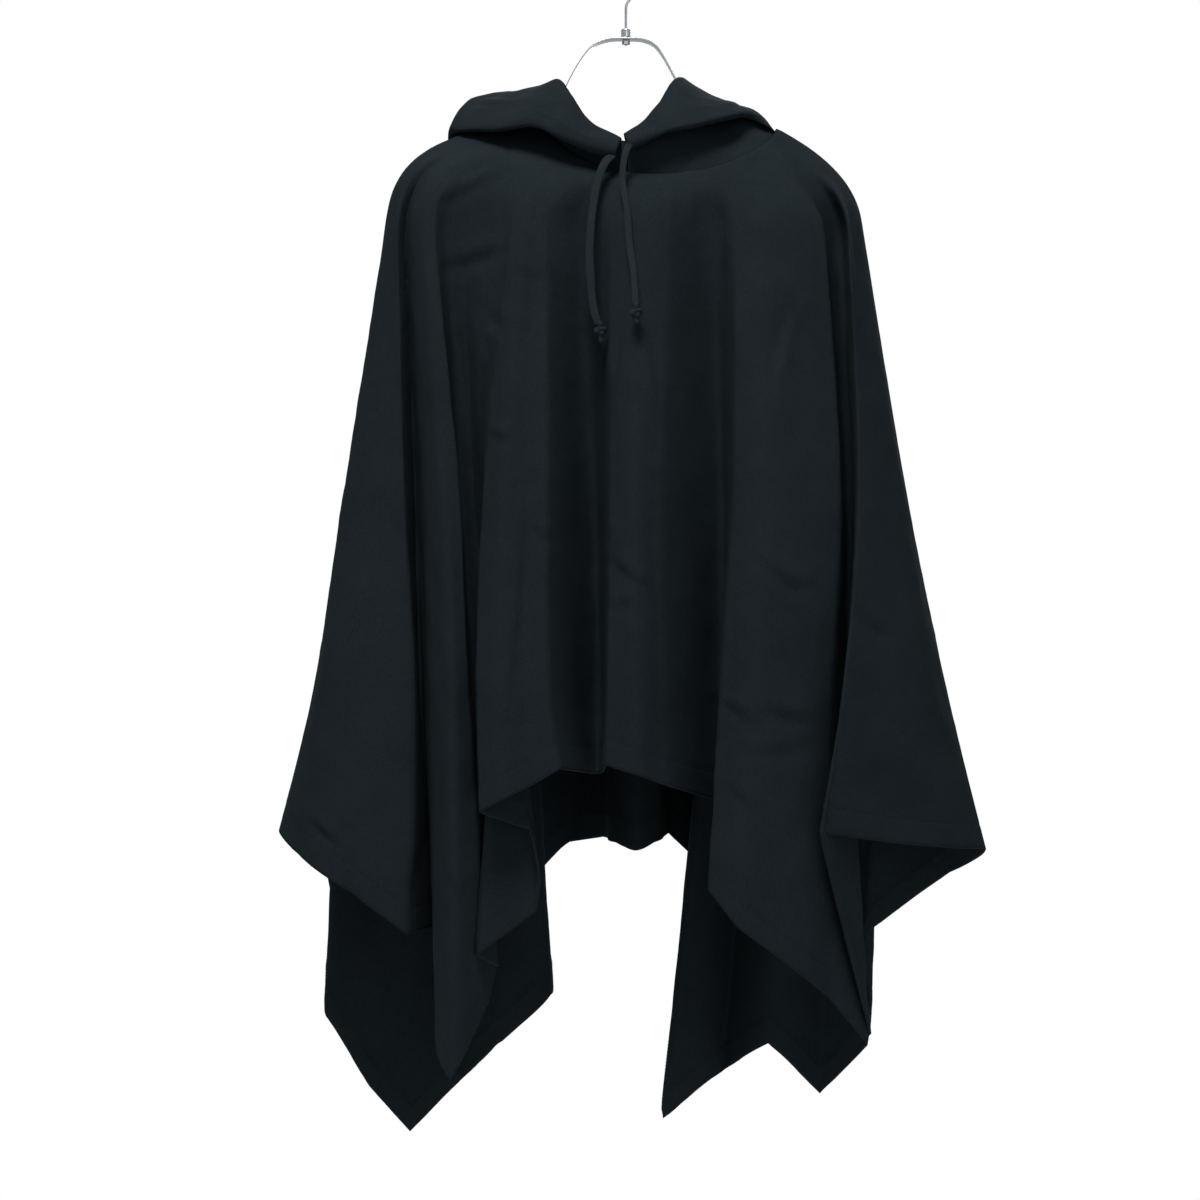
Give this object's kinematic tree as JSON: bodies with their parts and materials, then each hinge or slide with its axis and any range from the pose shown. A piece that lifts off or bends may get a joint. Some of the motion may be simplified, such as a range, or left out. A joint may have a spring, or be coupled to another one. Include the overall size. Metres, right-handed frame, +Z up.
{
  "type": "hooded wool cloak on a hanger",
  "caption": "Sleeveless pull-on cloak of black wool with a dropped hood and drawstring ends, hanging in deep folds on a flat-strip steel hanger",
  "frame": {"origin": "the point at the inside top of the hanger's hook that bears on a rail", "axes": "+Z is up, the front of the cloak faces -Y, and +X is to the right as seen from the front"},
  "size_m": [0.7074, 0.3198, 1.1888],
  "materials": {
    "wool": "matt, lightly felted twill",
    "hanger_steel": "polished"
  },
  "bodies": {
    "root": {"front_panel": "wool", "back_panel": "wool", "hood_left": "wool", "hood_right": "wool", "tie_left": "wool", "tie_right": "wool", "knot_left": "wool", "knot_right": "wool", "hanger_strip": "hanger_steel", "hanger_hook": "hanger_steel", "hanger_ferrule": "hanger_steel", "hanger_nut": "hanger_steel"}
  },
  "joints": []
}
